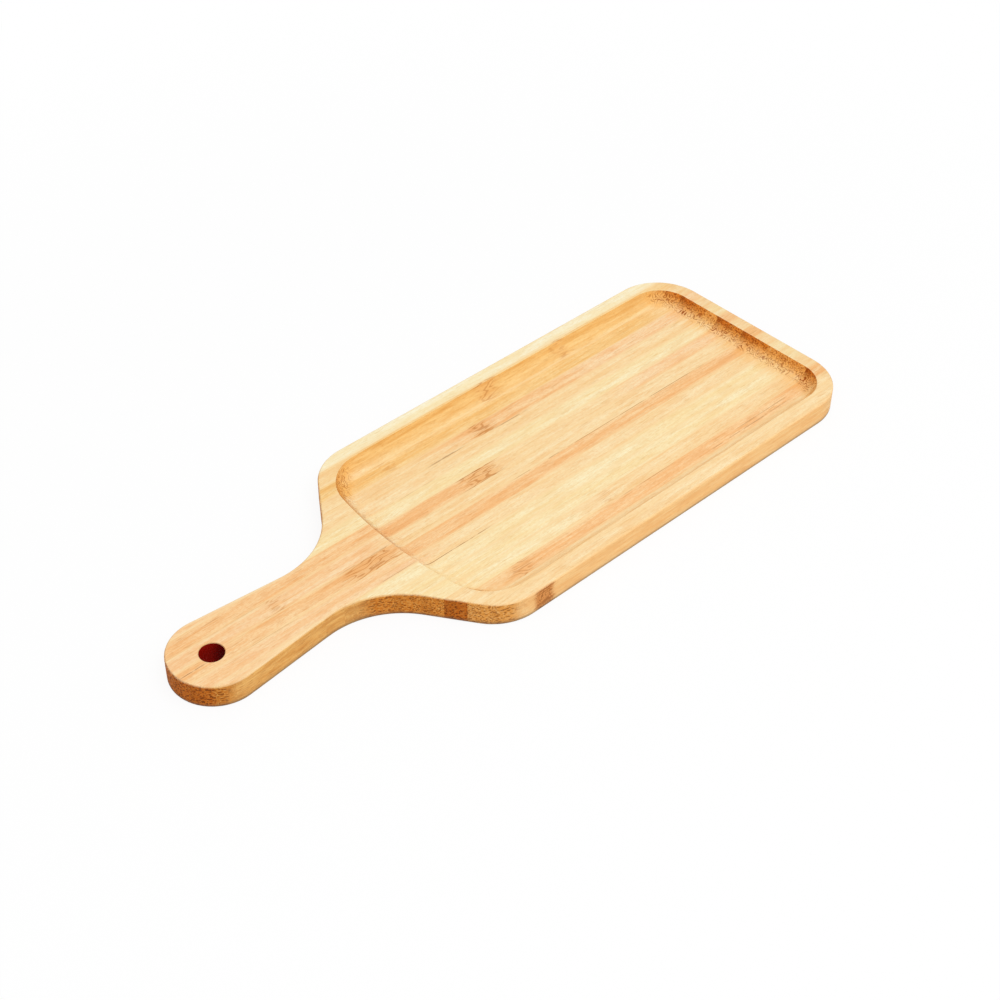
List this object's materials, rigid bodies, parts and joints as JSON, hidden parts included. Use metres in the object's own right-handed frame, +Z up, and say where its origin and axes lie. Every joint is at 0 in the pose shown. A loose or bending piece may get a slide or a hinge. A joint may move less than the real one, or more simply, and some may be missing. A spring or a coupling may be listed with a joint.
{
  "type": "paddle charcuterie board",
  "caption": "Flat bamboo serving board with a round-ended handle, a hanging hole and a shallow coved tray for food, glued up from staves.",
  "frame": {"origin": "centre of the board's bounding box, on the flat underside that it rests on", "axes": "+X along the board from the handle's tip towards the far end, +Y towards the left long side, +Z up out of the tray"},
  "size_m": [0.383, 0.14, 0.0127],
  "materials": {
    "pale_bamboo": "satin",
    "honey_bamboo": "satin",
    "amber_bamboo": "satin"
  },
  "bodies": {
    "root": {"left_stave_1": "pale_bamboo", "left_stave_2": "amber_bamboo", "left_stave_3": "pale_bamboo", "left_stave_4": "pale_bamboo", "left_stave_5": "honey_bamboo", "left_stave_6": "honey_bamboo", "left_stave_7": "amber_bamboo", "left_stave_8": "pale_bamboo", "right_stave_1": "amber_bamboo", "right_stave_2": "honey_bamboo", "right_stave_3": "pale_bamboo", "right_stave_4": "pale_bamboo", "right_stave_5": "honey_bamboo", "right_stave_6": "amber_bamboo", "right_stave_7": "pale_bamboo", "right_stave_8": "honey_bamboo", "left_tip_stave": "pale_bamboo", "right_tip_stave": "pale_bamboo"}
  },
  "joints": []
}
